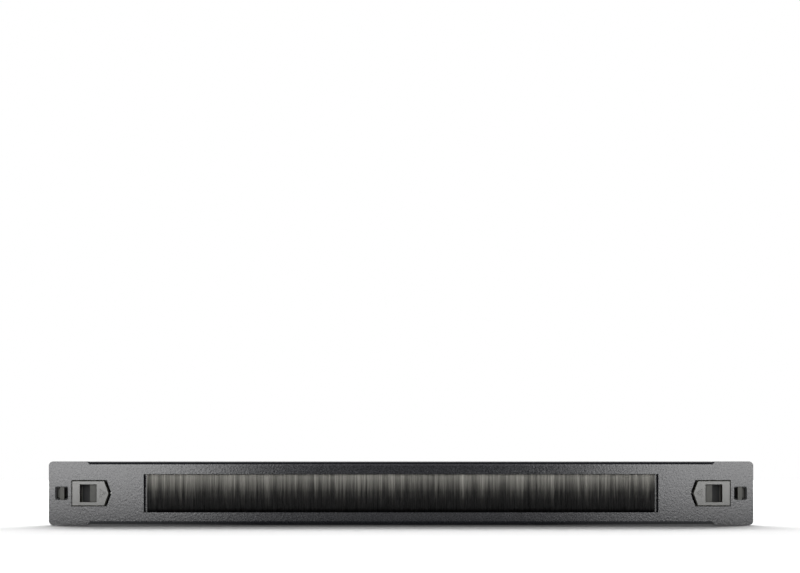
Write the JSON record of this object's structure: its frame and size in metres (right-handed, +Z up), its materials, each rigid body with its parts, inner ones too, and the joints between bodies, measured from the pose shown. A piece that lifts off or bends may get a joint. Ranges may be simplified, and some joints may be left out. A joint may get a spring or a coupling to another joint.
{
  "type": "rack brush strip panel",
  "caption": "One-unit rack panel of folded sheet with a wide window closed by a hanging brush strip for cables, and a sliding spring latch with a claw at each end.",
  "frame": {"origin": "middle of the panel, on the plane where the panel meets the front face of the rack rails", "axes": "+X along the panel to the right seen from the front, +Y back into the rack, +Z up"},
  "size_m": [0.4826, 0.0155, 0.0436],
  "materials": {
    "powder_coat": "fine textured black powder coat, semi-gloss",
    "retainer_coat": "fine textured black powder coat",
    "slider_coat": "smooth grey-black paint on die-cast zinc",
    "housing_plastic": "moulded black nylon, matt",
    "nylon_bristle": "black nylon filament",
    "galvanised": "galvanised strip",
    "zinc_steel": "zinc plated, passivated",
    "spring_steel": "drawn spring wire"
  },
  "bodies": {
    "panel": {"front_panel": "powder_coat", "retainer_studs": "zinc_steel", "brush_retainer": "retainer_coat", "retainer_washers": "zinc_steel", "retainer_nuts": "zinc_steel", "brush_channel": "galvanised", "brush_core_wire": "galvanised", "brush_bristles": "nylon_bristle", "latch_housing_left": "housing_plastic", "latch_spring_left": "spring_steel", "spring_pin_left": "zinc_steel", "housing_studs_left": "zinc_steel", "housing_washers_left": "zinc_steel", "housing_nuts_left": "zinc_steel", "latch_housing_right": "housing_plastic", "latch_spring_right": "spring_steel", "spring_pin_right": "zinc_steel", "housing_studs_right": "zinc_steel", "housing_washers_right": "zinc_steel", "housing_nuts_right": "zinc_steel"},
    "slider_left": {"latch_slider_left": "slider_coat"},
    "slider_right": {"latch_slider_right": "slider_coat"}
  },
  "joints": [
    {"name": "left_latch_slide", "type": "slide", "parent": "panel", "child": "slider_left", "axis": [1, 0, 0], "range_m": [0, 0.0014], "stiffness_N_per_m": 200, "springref_m": -0.005, "deforming": ["latch_spring_left"]},
    {"name": "right_latch_slide", "type": "slide", "parent": "panel", "child": "slider_right", "axis": [-1, 0, 0], "range_m": [0, 0.0014], "stiffness_N_per_m": 200, "springref_m": -0.005, "deforming": ["latch_spring_right"]}
  ]
}
